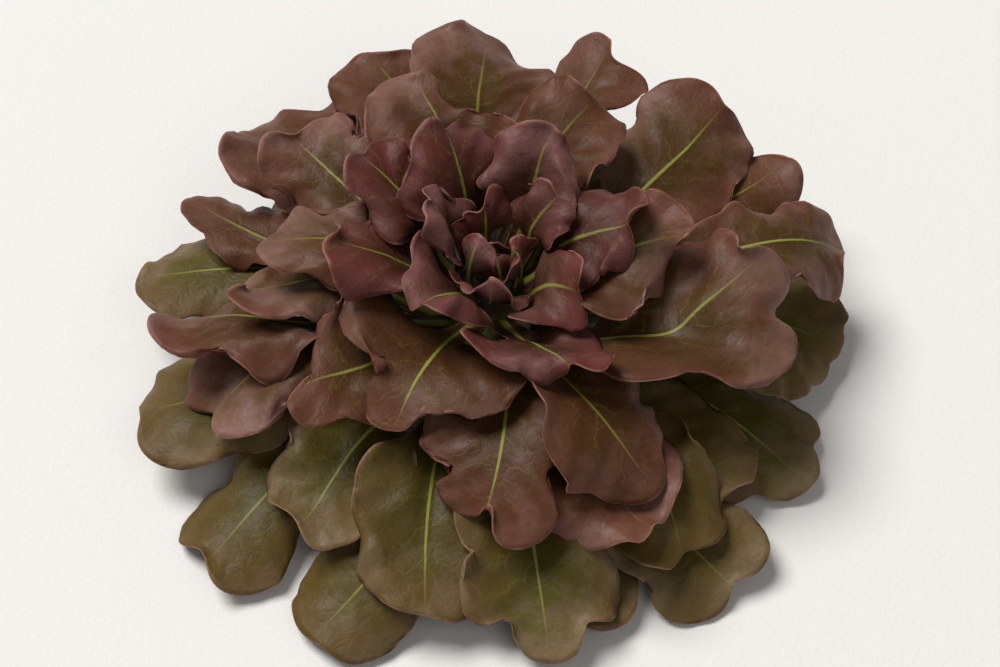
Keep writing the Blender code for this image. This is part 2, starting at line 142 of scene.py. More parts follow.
MIDDLE = [
    Leaf(155, 0.95, 0.30, 15, arch=40, phase=25, swing=15),
    Leaf(30, 0.97, 0.34, 22, arch=55, phase=85, swing=-12, ruffle=9),
    Leaf(12, 1.00, 0.27, 21, arch=70, droop=50, phase=65, depth=0.3, swing=-16, offset=0.5),
    Leaf(-154, 0.87, 0.21, 26, arch=45, phase=15, twist=-19, swing=-14, ruffle=9, offset=0.5),
    Leaf(-60, 0.84, 0.20, 30, arch=55, phase=75, ruffle=9, swing=-10, depth=0.12, offset=0.2),
    Leaf(141, 0.96, 0.42, 27, arch=30, cup=20, phase=0, swing=-12, ruffle=9, depth=0.12, offset=0.3),
    Leaf(66, 0.93, 0.52, 22, arch=30, cup=22, phase=55, twist=-32, swing=12, ruffle=9, offset=0.6),
    Leaf(113, 0.93, 0.50, 28, arch=30, cup=6, depth=0.22, offset=0.5, phase=90, swing=-8),
    Leaf(43, 0.93, 0.56, 27, arch=28, cup=8, phase=40, twist=24, swing=-14, depth=0.14, offset=0.4),
    Leaf(90, 0.88, 0.53, 31, arch=32, cup=16, ruffle=11, phase=20, twist=-16, swing=10, lobes=6, depth=0.1),
    Leaf(-175, 0.90, 0.38, 26, arch=48, curl=-40, phase=10, twist=24, swing=18, ruffle=9.5, offset=0.5),
    Leaf(-92, 0.73, 0.31, 29, arch=85, droop=30, depth=0.45, phase=30, twist=19, swing=16, offset=0.4),
    Leaf(-56, 0.72, 0.35, 25, arch=85, droop=40, depth=0.2, phase=65, twist=-24, ruffle=7, swing=-10),
    Leaf(-142, 0.67, 0.42, 21, arch=60, droop=20, phase=15, twist=19, ruffle=7, swing=10, offset=0.6),
    Leaf(2, 0.79, 0.58, 34, arch=30, swing=-66, cup=6, phase=10, depth=0.28, ruffle=7, lobes=5, offset=0.2),
    Leaf(-172, 0.72, 0.54, 24, arch=52, curl=-45, phase=5, twist=22, swing=-12, ruffle=9, offset=0.4),
    Leaf(141, 0.74, 0.64, 22, arch=35, cup=24, phase=35, twist=-29, swing=10, ruffle=9, offset=0.5),
    Leaf(114, 0.62, 0.64, 25, arch=70, droop=50, phase=75, twist=32, swing=-16, ruffle=9.5, offset=0.3),
    Leaf(60, 0.62, 0.74, 25, arch=22, cup=8, phase=0, twist=-24, swing=14, ruffle=9, depth=0.12, offset=0.4),
    Leaf(-116, 0.56, 0.52, 36, arch=80, droop=30, lobes=3, depth=0.55, phase=90, cup=16, ruffle=2.5),
    Leaf(178, 0.62, 0.68, 21, arch=45, droop=15, phase=40, twist=-19, swing=8, ruffle=7, offset=0.6),
    Leaf(3, 0.52, 0.74, 27, arch=60, droop=30, phase=60, ruffle=9.5, twist=32, swing=-20, offset=0.5),
]

HEART = [
    Leaf(-62, 0.56, 0.56, 23, arch=60, droop=20, phase=15, twist=20, ruffle=7.5, swing=-10, offset=0.4),
    Leaf(-172, 0.50, 0.76, 23, arch=42, phase=80, twist=15, ruffle=7, swing=8, offset=0.5, curl=0),
    Leaf(145, 0.47, 0.84, 21, arch=30, cup=14, phase=45, twist=-14, swing=6, ruffle=6, offset=0.5, curl=10),
    Leaf(112, 0.40, 0.87, 23, arch=40, droop=20, phase=20, ruffle=7, swing=4, offset=0.5, depth=0.2),
    Leaf(2, 0.43, 0.82, 22, arch=50, droop=20, phase=50, twist=20, ruffle=7, swing=8, offset=0.5),
    Leaf(-125, 0.42, 0.72, 20, arch=45, cup=16, phase=5, twist=15, ruffle=6, swing=6, offset=0.5, curl=0),
    Leaf(62, 0.40, 0.85, 20, arch=40, droop=20, twist=20, phase=70, ruffle=6, swing=-6, offset=0.4),
    Leaf(-36, 0.34, 0.74, 18, arch=50, phase=15, twist=15, ruffle=6, swing=-6, offset=0.5, curl=-10),
    Leaf(168, 0.29, 0.87, 16, arch=28, cup=16, phase=75, ruffle=4, swing=6, offset=0.5, curl=0),
    Leaf(30, 0.26, 0.84, 14, arch=30, phase=10, twist=-10, ruffle=4, swing=4, offset=0.5),
    Leaf(-88, 0.22, 0.76, 15, arch=35, cup=16, phase=65, twist=-10, ruffle=5, swing=-6, offset=0.5),
    Leaf(104, 0.14, 0.86, 12, arch=25, cup=16, phase=25, ruffle=4, offset=0.5),
    Leaf(-25, 0.08, 0.80, 11, arch=25, cup=18, phase=45, ruffle=3, offset=0.5),
]

BUD = [
    Leaf(60, 0.04, 0.76, 9, arch=-25, cup=30, curl=10, depth=0.1, ruffle=1.5, phase=20),
    Leaf(-130, 0.04, 0.84, 9, arch=-25, cup=30, curl=10, depth=0.1, ruffle=1.5, phase=70),
    Leaf(-65, 0.03, 0.73, 8, arch=-25, cup=30, curl=10, depth=0.1, ruffle=1.5, phase=40),
]

RINGS = {"outer_leaf": OUTER, "middle_leaf": MIDDLE, "heart_leaf": HEART, "bud_leaf": BUD}
GRIDS = {"outer_leaf": (9, 7), "middle_leaf": (9, 7), "heart_leaf": (7, 5), "bud_leaf": (6, 5)}


def smooth(x, low, high):
    """0 below low, 1 above high, and an S-curve between."""
    u = np.clip((x - low) / (high - low), 0, 1)
    return u * u * (3 - 2 * u)


def core_radius(z):
    """Radius of the core at height z: nearly upright below and drawn in to a blunt top."""
    u = np.clip(z / CORE_HEIGHT, 0, 1)
    body = CORE_TOP_RADIUS + (CORE_RADIUS - CORE_TOP_RADIUS) * np.sqrt(1 - u**3)
    foot = (CORE_RADIUS - CUT_RADIUS) * (1 - smooth(z, 0, LOWEST_BASE))
    return body - foot


def petiole_half_width(leaf):
    return min(PETIOLE_HALF_WIDTH, PETIOLE_SHARE * leaf.width)


def core_slope(z):
    """The angle above the horizontal of the core's outward normal at height z."""
    return math.atan2(float(core_radius(z - 0.5) - core_radius(z + 0.5)), 1.0)


def rib_of(leaf, base_height):
    """The rib: its length, and samples of its point, side and normal. It ends at the tip the leaf states."""
    u = np.linspace(0, 1, RIB_SAMPLES)
    base = np.array([float(core_radius(base_height)) + SEAT_GAP, base_height])
    chord = np.array([leaf.reach * HEAD_RADIUS, leaf.rise * HEAD_HEIGHT]) - base
    knee = 0.0
    for _ in range(3):
        turn = -np.radians(leaf.arch) * u - np.radians(leaf.droop) * smooth(u, 0.55, 1)
        turn = turn - knee * np.exp(-u * np.hypot(*chord) / KNEE_LENGTH)
        steps = np.stack([np.cos(turn), np.sin(turn)], axis=1)
        middles = (steps[1:] + steps[:-1]) / 2
        run = np.vstack([[0, 0], np.cumsum(middles, axis=0) / (RIB_SAMPLES - 1)])
        length = np.hypot(*chord) / np.hypot(*run[-1])
        lean = math.atan2(chord[1], chord[0]) - math.atan2(run[-1, 1], run[-1, 0])
        knee = max(0.0, lean - core_slope(base_height) - math.radians(BASE_ANGLE))
    c, s = math.cos(lean), math.sin(lean)
    radial = base[0] + length * (c * run[:, 0] - s * run[:, 1])
    height = base[1] + length * (s * run[:, 0] + c * run[:, 1])
    azimuth = np.radians(leaf.azimuth + leaf.swing * (1 - u))
    point = np.stack([radial * np.cos(azimuth), radial * np.sin(azimuth), height], axis=1)
    tangent = np.gradient(point, axis=0)
    tangent /= np.linalg.norm(tangent, axis=1)[:, None]
    slope = turn + lean
    inward = -np.sin(slope)
    up = np.stack([inward * np.cos(azimuth), inward * np.sin(azimuth), np.cos(slope)], axis=1)
    side = np.cross(up, tangent)
    side /= np.linalg.norm(side, axis=1)[:, None]
    normal = np.cross(tangent, side)
    return length, point, side, normal


def flat_outline(leaf, length, s, t):
    """The leaf laid flat, in mm across and along, with each point's margin nearness and hub angle."""
    petiole = petiole_half_width(leaf)
    half = petiole + (leaf.width - petiole) * smooth(s, WAIST_FRACTION, TIP_FRACTION)
    across = t * half
    round_off = BLUNTNESS * leaf.width * smooth(s, 0.2, 1) * (1 - np.sqrt(1 - 0.96 * t**2))
    along = s * length - round_off
    hub = HUB_FRACTION * length
    angle = np.arctan2(across, along - hub)
    margin = 1 - (1 - t**2) * (1 - s**6)
    uneven = LOBE_UNEVENNESS * np.sin(angle + np.radians(leaf.phase))
    turn = leaf.lobes * angle / (2 * np.pi) + leaf.offset + uneven
    from_bay = np.abs(turn - np.floor(turn) - 0.5)
    bay = np.exp(-((from_bay / SINUS_WIDTH) ** 2)) * smooth(-np.abs(angle), -2.5, -1.9)
    keep = 1 - leaf.depth * bay * margin**2
    return across * keep, hub + (along - hub) * keep, margin, angle


def leaf_sheet(leaf, base_height, s, t):
    """The leaf's middle surface, as points for each pair of s, base to tip, and t, margin to margin."""
    length, point, side, normal = rib_of(leaf, base_height)
    across, along, margin, angle = flat_outline(leaf, length, s, t)
    u = np.clip(along / length, 0, 1)
    knots = np.linspace(0, 1, RIB_SAMPLES)
    at = [
        np.stack([np.interp(u, knots, line[:, k]) for k in range(3)], axis=-1)
        for line in (point, side, normal)
    ]
    roll = np.radians(leaf.twist) * u
    side_here = at[1] * np.cos(roll)[..., None] + at[2] * np.sin(roll)[..., None]
    normal_here = at[2] * np.cos(roll)[..., None] - at[1] * np.sin(roll)[..., None]
    rise = np.radians(leaf.cup + CHANNEL * (1 - u) ** 2) * smooth(u, 0.03, 0.3)
    bend = np.radians(leaf.curl) * smooth(u, 0.2, 0.7) / leaf.width + 1e-6
    x = np.abs(across)
    out = (np.sin(rise + bend * x) - np.sin(rise)) / bend
    lift = (np.cos(rise) - np.cos(rise + bend * x)) / bend
    phase = np.radians(leaf.phase)
    wave = np.sin(leaf.waves * angle + phase) + RIPPLE * np.sin(RIPPLE_RATE * leaf.waves * angle + 2 * phase)
    lift = lift + leaf.ruffle * wave * margin**2 * smooth(u, 0.25, 0.6)
    sheet = at[0] + side_here * (np.sign(across) * out)[..., None] + normal_here * lift[..., None]
    lowest = FLOOR_CLEARANCE + BLADE_THICKNESS
    over = (sheet[..., 2] - lowest) / FLOOR_EASE
    sheet[..., 2] = lowest + FLOOR_EASE * np.where(over > 30, over, np.log1p(np.exp(np.minimum(over, 30))))
    return sheet


def sheet_normals(sheet):
    """Unit normals of a grid of points, on the leaf's upper side."""
    normal = np.cross(np.gradient(sheet, axis=1), np.gradient(sheet, axis=0))
    return normal / np.maximum(np.linalg.norm(normal, axis=-1), 1e-9)[..., None]


def clear_of_core(points, gap):
    """Points moved outwards where they are nearer the core than gap."""
    radius = np.hypot(points[..., 0], points[..., 1])
    least = np.where(points[..., 2] < CORE_HEIGHT + gap, core_radius(points[..., 2]) + gap, 0)
    grow = np.maximum(1, least / np.maximum(radius, 1e-6))
    return np.stack([points[..., 0] * grow, points[..., 1] * grow, points[..., 2]], axis=-1)


def seated(points):
    """A leaf's end row put on the core, all at the seat's gap."""
    radius = np.hypot(points[..., 0], points[..., 1])
    scale = (core_radius(points[..., 2]) + SEAT_GAP) / np.maximum(radius, 1e-6)
    return np.stack([points[..., 0] * scale, points[..., 1] * scale, points[..., 2]], axis=-1)


def leaf_solid(sheet, s, t, leaf, spare=0.0):
    """Vertices and triangles of the leaf with its thickness, grown by spare on each side."""
    normal = sheet_normals(sheet)
    rib = np.exp(-((t * leaf.width / RIB_HALF_WIDTH) ** 2)) * (1 - s) ** 1.5
    below = BLADE_THICKNESS / 2 + RIB_THICKNESS * rib + spare
    above = BLADE_THICKNESS / 2 + spare
    upper = clear_of_core(sheet + normal * above, SEAT_GAP)
    lower = clear_of_core(sheet - normal * below[..., None], SEAT_GAP)
    upper[0] = seated(upper[0])
    lower[0] = seated(lower[0])
    lower[..., 2] = np.maximum(lower[..., 2], FLOOR_CLEARANCE / 2)
    rows, columns = sheet.shape[:2]
    verts = np.concatenate([upper.reshape(-1, 3), lower.reshape(-1, 3)])
    index = np.arange(rows * columns).reshape(rows, columns)
    a, b, c, d = index[:-1, :-1], index[:-1, 1:], index[1:, 1:], index[1:, :-1]
    halves = (np.stack([a, b, c], -1), np.stack([a, c, d], -1))
    top = np.concatenate([half.reshape(-1, 3) for half in halves])
    under = top[:, ::-1] + rows * columns
    rim = np.concatenate([index[0, :], index[1:, -1], index[-1, -2::-1], index[-2:0:-1, 0]])
    after = np.roll(rim, -1)
    low = rows * columns
    sides = np.concatenate(
        [np.stack([rim, rim + low, after], -1), np.stack([after, rim + low, after + low], -1)]
    )
    return verts, np.concatenate([top, under, sides])


def lift_way(sheet, leaf):
    """The way each point rises: round the foot of the head, in the leaf's own upright plane."""
    azimuth = math.radians(leaf.azimuth)
    out = np.array([math.cos(azimuth), math.sin(azimuth), 0])
    radial = sheet @ out
    height = sheet[..., 2] - LIFT_HUB_HEIGHT
    way = -height[..., None] * out + radial[..., None] * np.array([0, 0, 1.0])
    return way / np.linalg.norm(way, axis=-1)[..., None]


def spread(lift, sheet):
    """The lift with its steps eased, so that the sheet climbs no steeper than LIFT_SLOPE."""
    along = LIFT_SLOPE * np.linalg.norm(np.diff(sheet, axis=0), axis=-1)
    aside = LIFT_SLOPE * np.linalg.norm(np.diff(sheet, axis=1), axis=-1)
    for _ in range(sum(lift.shape)):
        lift[1:] = np.maximum(lift[1:], lift[:-1] - along)
        lift[:-1] = np.maximum(lift[:-1], lift[1:] - along)
        lift[:, 1:] = np.maximum(lift[:, 1:], lift[:, :-1] - aside)
        lift[:, :-1] = np.maximum(lift[:, :-1], lift[:, 1:] - aside)
    lift[0] = 0
    return lift


def laid_sheet(leaf, sheet, s, t, laid):
    """The sheet lifted until the leaf clears every leaf that is already laid, or None where it can't."""
    way = lift_way(sheet, leaf)
    lift = np.zeros(sheet.shape[:2])
    for _ in range(MOST_LIFTS):
        raised = sheet + way * lift[..., None]
        verts, faces = leaf_solid(raised, s, t, leaf, LEAF_CLEARANCE)
        hits = BVHTree.FromPolygons(verts.tolist(), faces.tolist()).overlap(laid)
        if not hits:
            return raised
        touched = np.unique(faces[np.unique([pair[0] for pair in hits])]) % lift.size
        lift.flat[touched] += LIFT_STEP
        lift = spread(lift, sheet)
    return None


def lowest_base(leaf, rank, ranks, placed):
    """The lowest height for the leaf's base on the core that is clear of the bases below it."""
    azimuth = leaf.azimuth + leaf.swing
    height = LOWEST_BASE + (HIGHEST_BASE - LOWEST_BASE) * rank / ranks
    for other, other_height, other_angle in placed:
        apart = abs((other - azimuth + 180) % 360 - 180)
        if apart < other_angle + base_angle(leaf, height):
            height = max(height, other_height + BASE_PITCH)
    return height


def base_angle(leaf, height):
    """Half the angle that the leaf's base takes up on the core."""
    return math.degrees((petiole_half_width(leaf) + BASE_GAP) / core_radius(height))


def core_surface():
    """Vertices and faces of the turned core, with the flat face where the head was cut."""
    heights = [0, 0.5 * LOWEST_BASE, LOWEST_BASE, *np.linspace(LOWEST_BASE, CORE_HEIGHT, 9)[1:]]
    angles = np.arange(CORE_SIDES) * 2 * np.pi / CORE_SIDES
    n = CORE_SIDES
    verts = []
    for z in heights:
        radius = float(core_radius(z))
        verts += [(radius * np.cos(a), radius * np.sin(a), z) for a in angles]
    faces = [
        (k * n + i, k * n + (i + 1) % n, (k + 1) * n + (i + 1) % n, (k + 1) * n + i)
        for k in range(len(heights) - 1)
        for i in range(n)
    ]
    faces.append(tuple(range(n - 1, -1, -1)))
    faces.append(tuple(range((len(heights) - 1) * n, len(heights) * n)))
    return verts, faces


def cuts_core(leaf, sheet, s, t):
    """Whether the laid leaf cuts into the core."""
    verts, faces = leaf_solid(sheet, s, t, leaf)
    core_tree = BVHTree.FromPolygons(*core_surface())
    return bool(BVHTree.FromPolygons(verts.tolist(), faces.tolist()).overlap(core_tree))


def turns_of(leaf):
    """The leaf as it is drawn, then, for where it has no room, turned about the core and raised."""
    yield leaf
    for count in range(1, MOST_TURNS + 1):
        rise = leaf.rise + count * RISE_STEP
        yield leaf._replace(azimuth=leaf.azimuth + count * TURN_STEP, rise=rise)
        yield leaf._replace(azimuth=leaf.azimuth - count * TURN_STEP, rise=rise)


def laid_leaf(drawn, rank, ranks, placed, s, t, laid):
    """The leaf, its sheet and its base's height, at the first place from which it clears the others."""
    for leaf in turns_of(drawn):
        height = lowest_base(leaf, rank, ranks, placed)
        while height < CORE_HEIGHT - TOP_MARGIN:
            sheet = laid_sheet(leaf, leaf_sheet(leaf, height, s, t), s, t, laid)
            if sheet is not None and not cuts_core(leaf, sheet, s, t):
                return leaf, sheet, height
            height += BASE_STEP
    raise ValueError(f"no room on the core for the leaf at azimuth {drawn.azimuth}")


# The fine leaves, in mm where it is a length.
FINE_GRIDS = {"outer_leaf": (48, 35), "middle_leaf": (48, 35), "heart_leaf": (36, 27), "bud_leaf": (24, 17)}
FINE_BLADE = 0.4
FINE_FLOOR = 0.3  # how far above the floor a leaf's underside stays
RIDGE_HEIGHT = 1.1  # of the rib, below the blade
RIDGE_HALF_WIDTH = 1.5
GROOVE_DEPTH = 0.35  # of the groove over the rib
GROOVE_WIDTH = 1.6  # as a share of the pale rib's
RIB_TIP_HALF_WIDTH = 0.35  # of the pale rib
RIB_BASE_GROWTH = 1.5  # how much wider half of it is at the base
VEIN_START = 0.1  # where the side veins begin, as a share of the leaf's length
VEIN_PITCH = 11.0
VEIN_SLANT = 0.85  # how far a side vein runs on towards the tip for each mm outwards
VEIN_BEND = 0.006  # how much less it does so further out, for each mm
VEIN_STAGGER = 0.4  # how far the veins of the two halves are apart, as a share of VEIN_PITCH
PUCKER = 0.8  # height of the swellings between the veins
FRILL = 1.5
FRILL_PITCH = 13.0
SCALLOP = 2.0
SCALLOP_PITCH = 17.0
SCALLOP_MIDDLE = 1.2  # what is taken off the scallops, so that they run in as well as out
HUB_TO_MARGIN = 0.75  # as a share of half the blade's width
TIP_NEARNESS = 0.55  # how far from the tip's margin a point counts, as a share of its way along the rib


class Variation(NamedTuple):
    """A value that differs from leaf to leaf, by a sine of the leaf's seed."""

    middle: float
    swing: float
    rate: float
    start: float = 0.0

    def at(self, seed):
        return self.middle + self.swing * math.sin(self.rate * seed + self.start)


SEED_STEP = 1.7
SEED_STARTS = {"outer_leaf": 0, "middle_leaf": 40, "heart_leaf": 90, "bud_leaf": 130}
RIB_STRENGTH = Variation(0.8, 0.2, 2.4)  # how pale the rib is
RIPENESS = Variation(0.68, 0.32, 3.1, 0.8)  # how purple the lobes are
FRESHNESS = Variation(0.45, 0.45, 4.3, 2.0)  # how green the blade is


def catmull(knots, x):
    """Weights (len(x), knots) of a smooth curve through values at evenly spaced knots from 0 to 1."""
    place = np.clip(x, 0, 1) * (knots - 1)
    low = np.minimum(place.astype(int), knots - 2)
    f = place - low
    curve = [
        -0.5 * f + f**2 - 0.5 * f**3,
        1 - 2.5 * f**2 + 1.5 * f**3,
        0.5 * f + 2 * f**2 - 1.5 * f**3,
        -0.5 * f**2 + 0.5 * f**3,
    ]
    weights = np.zeros((len(x), knots + 2))
    rows = np.arange(len(x))
    for k, weight in enumerate(curve):
        weights[rows, low + k] += weight
    # The values one knot beyond each end follow the straight line through the last two.
    inner = weights[:, 1:-1].copy()
    inner[:, 0] += 2 * weights[:, 0]
    inner[:, 1] -= weights[:, 0]
    inner[:, -1] += 2 * weights[:, -1]
    inner[:, -2] -= weights[:, -1]
    return inner


def grid(rows, columns):
    """Each pair of s, 0 to 1 from base to tip, and t, -1 to 1 from margin to margin."""
    return np.meshgrid(np.linspace(0, 1, rows), np.linspace(-1, 1, columns), indexing="ij")


def rib_half_width(part):
    """Half the width of the pale rib, in mm, where part is 0 at the base and 1 at the tip."""
    return RIB_TIP_HALF_WIDTH + RIB_BASE_GROWTH * (1 - np.clip(part, 0, 1)) ** 1.3


def vein_line(across, along, length):
    """Counts the side veins: whole numbers lie on a vein of the half where across is under 0."""
    x = np.abs(across)
    return (along - VEIN_SLANT * x + VEIN_BEND * x**2 - VEIN_START * length) / VEIN_PITCH


def finer(sheet, laid, natural):
    """A fine sheet, moved as the coarse one was when it was laid."""
    down = catmull(laid.shape[0], np.linspace(0, 1, sheet.shape[0]))
    over = catmull(laid.shape[1], np.linspace(0, 1, sheet.shape[1]))
    return sheet + np.einsum("ia,abk,jb->ijk", down, laid - natural, over)


def blade_relief(leaf, seed, across, margin, angle, part, vein):
    """How far each point of the blade rises, and how far it runs outwards, in mm."""
    wave = 0.5 - 0.5 * np.cos(2 * np.pi * (vein + VEIN_STAGGER * (across > 0)))
    swell = PUCKER * wave * smooth(np.abs(across), 1.5, 8) * smooth(part, 0.15, 0.4)
    around = angle * HUB_TO_MARGIN * leaf.width
    frilled = margin**4 * smooth(part, 0.3, 0.6)
    frill = np.sin(2 * np.pi * around / FRILL_PITCH + seed) * (0.6 + 0.4 * np.sin(2.7 * angle + 2.1 * seed))
    scallop = 2 * np.abs(np.sin(np.pi * around / SCALLOP_PITCH + 2 * seed)) - SCALLOP_MIDDLE
    groove = np.exp(-((across / (GROOVE_WIDTH * rib_half_width(part))) ** 2)) * (1 - part) ** 0.5
    lift = swell + FRILL * frill * frilled - GROOVE_DEPTH * groove
    return lift, SCALLOP * scallop * frilled


def closed(upper, lower):
    """Vertices and faces of the closed form between two grids of points."""
    rows, columns = upper.shape[:2]
    low = rows * columns
    index = np.arange(low).reshape(rows, columns)
    a, b, c, d = index[:-1, :-1], index[:-1, 1:], index[1:, 1:], index[1:, :-1]
    top = np.stack([a, b, c, d], -1).reshape(-1, 4)
    rim = np.concatenate([index[0, :], index[1:, -1], index[-1, -2::-1], index[-2:0:-1, 0]])
    after = np.roll(rim, -1)
    sides = np.stack([rim, rim + low, after + low, after], -1)
    verts = np.concatenate([upper.reshape(-1, 3), lower.reshape(-1, 3)])
    return verts, np.concatenate([top, top[:, ::-1] + low, sides])


def fine_leaf(leaf, number, height, laid, natural, ring):
    """Vertices, faces and surface attributes of the leaf as it is shown."""
    s, t = grid(*FINE_GRIDS[ring])
    sheet = finer(leaf_sheet(leaf, height, s, t), laid, natural)
    normal = sheet_normals(sheet)
    length = rib_of(leaf, height)[0]
    across, along, margin, angle = flat_outline(leaf, length, s, t)
    part = np.clip(along / length, 0, 1)
    vein = vein_line(across, along, length)
    seed = SEED_STEP * number + SEED_STARTS[ring]
    # The blade's relief, and its margin run in and out.
    lift, scallop = blade_relief(leaf, seed, across, margin, angle, part, vein)
    outward = np.gradient(sheet, axis=1) * np.sign(t)[..., None]
    outward /= np.linalg.norm(outward, axis=-1, keepdims=True) + 1e-9
    sheet = sheet + outward * (scallop * np.abs(t) ** 3)[..., None]
    sheet = sheet + normal * (lift * smooth(s, 0, 0.12))[..., None]
    # The two sides of the blade, with the raised rib below.
    normal = sheet_normals(sheet)
    ridge = RIDGE_HEIGHT * np.exp(-((across / (RIDGE_HALF_WIDTH * (1.25 - part))) ** 2)) * (1 - part) ** 0.8
    upper = clear_of_core(sheet + normal * (FINE_BLADE / 2), SEAT_GAP)
    lower = clear_of_core(sheet - normal * (FINE_BLADE / 2 + ridge)[..., None], SEAT_GAP)
    upper[0] = seated(upper[0])
    lower[0] = seated(lower[0])
    lower[..., 2] = np.maximum(lower[..., 2], FINE_FLOOR)
    upper[..., 2] = np.maximum(upper[..., 2], FINE_FLOOR + FINE_BLADE)
    # What the skin's material reads at each point, first above and then below.
    to_side = (1 - np.abs(t)) * np.maximum(np.abs(across[:, -1:]), 1)
    level = np.ones_like(part)
    skin = {
        "across": across,
        "rib": np.abs(across) / rib_half_width(part),
        "along": along,
        "part": part,
        "edge": np.minimum(to_side, (1 - s) * TIP_NEARNESS * length),
        "vein": vein,
        "under": 0 * level,
        "seed": seed * level,
        "rib_strength": RIB_STRENGTH.at(seed) * level,
        "ripe": RIPENESS.at(seed) * level,
        "fresh": FRESHNESS.at(seed) * level,
    }
    values = {name: np.tile(value.ravel(), 2) for name, value in skin.items()}
    values["under"][part.size :] = 1
    return *closed(upper, lower), values


def piece(name, verts, faces, values, finish):
    """A new object of the mesh, with its surface attributes."""
    mesh = bpy.data.meshes.new(name)
    mesh.from_pydata((verts * MM).tolist(), [], faces.tolist())
    for key, numbers in values.items():
        attribute = mesh.attributes.new(key, "FLOAT", "POINT")
        attribute.data.foreach_set("value", numbers.astype(np.float32))
    mesh.materials.append(finish)
    mesh.shade_smooth()
    made = bpy.data.objects.new(name, mesh)
    bpy.context.scene.collection.objects.link(made)
    return made


# Materials. Their colours are given as a screen shows them, 0 to 255.


def rgb(red, green, blue):
    """A linear colour from one as a screen shows it."""
    return (*(((c / 255 + 0.055) / 1.055) ** 2.4 for c in (red, green, blue)), 1.0)


class Ink(NamedTuple):
    """The colours of a ring of leaves."""

    green: tuple
    brown: tuple
    purple: tuple
    # painted sheen: a pale highlight painted on the raised purple lobes
    painted_sheen: tuple
    under: tuple


# The fourth colour of each ink is a painted sheen, the pale highlight on the raised lobes.
INKS = {
    "outer_leaf": Ink(rgb(66, 70, 0), rgb(72, 44, 0), rgb(106, 74, 60), rgb(150, 122, 108), rgb(86, 76, 24)),
    "middle_leaf": Ink(rgb(60, 60, 0), rgb(64, 30, 0), rgb(112, 62, 60), rgb(160, 120, 118), rgb(86, 54, 28)),
    "heart_leaf": Ink(rgb(52, 44, 0), rgb(58, 20, 0), rgb(104, 48, 50), rgb(152, 106, 110), rgb(80, 40, 30)),
}
RIB_COLOUR = rgb(144, 148, 64)
VEIN_COLOUR = rgb(120, 116, 44)
NET_COLOUR = rgb(120, 100, 50)
MARGIN_COLOUR = rgb(152, 106, 92)

# The record's material slot of each ring. The bud leaves share the heart leaves'.
SLOTS = {ring: ring for ring in RINGS} | {"bud_leaf": "heart_leaf"}

# Scales of the leaf skin's patterns, per mm, and how far apart two leaves lie in them for each unit of seed.
BROAD_SCALE = 0.035
PATCH_SCALE = 0.11
FINE_SCALE = 0.55
NET_SCALE = 0.26
SEED_DISTANCE = 40.0
LEAF_GLOSS = 0.18

STEM_PALE = rgb(206, 208, 150)
STEM_PITH = rgb(176, 172, 104)
STEM_CUT = rgb(150, 112, 62)
STEM_GREEN = rgb(150, 158, 84)
# Painted shade for the core's top, where it sits among the heart leaves.
STEM_PAINTED_SHADE = rgb(30, 24, 2)
STEM_PAINTED_SHADE_BROWN = rgb(52, 28, 12)
STEM_BLOTCH_SCALE = 220.0
STEM_RING_RATE = 3100.0

PAPER_LIGHT = rgb(238, 236, 232)
PAPER_GREY = rgb(231, 229, 225)
PAPER_GRAIN_SCALE = 520.0


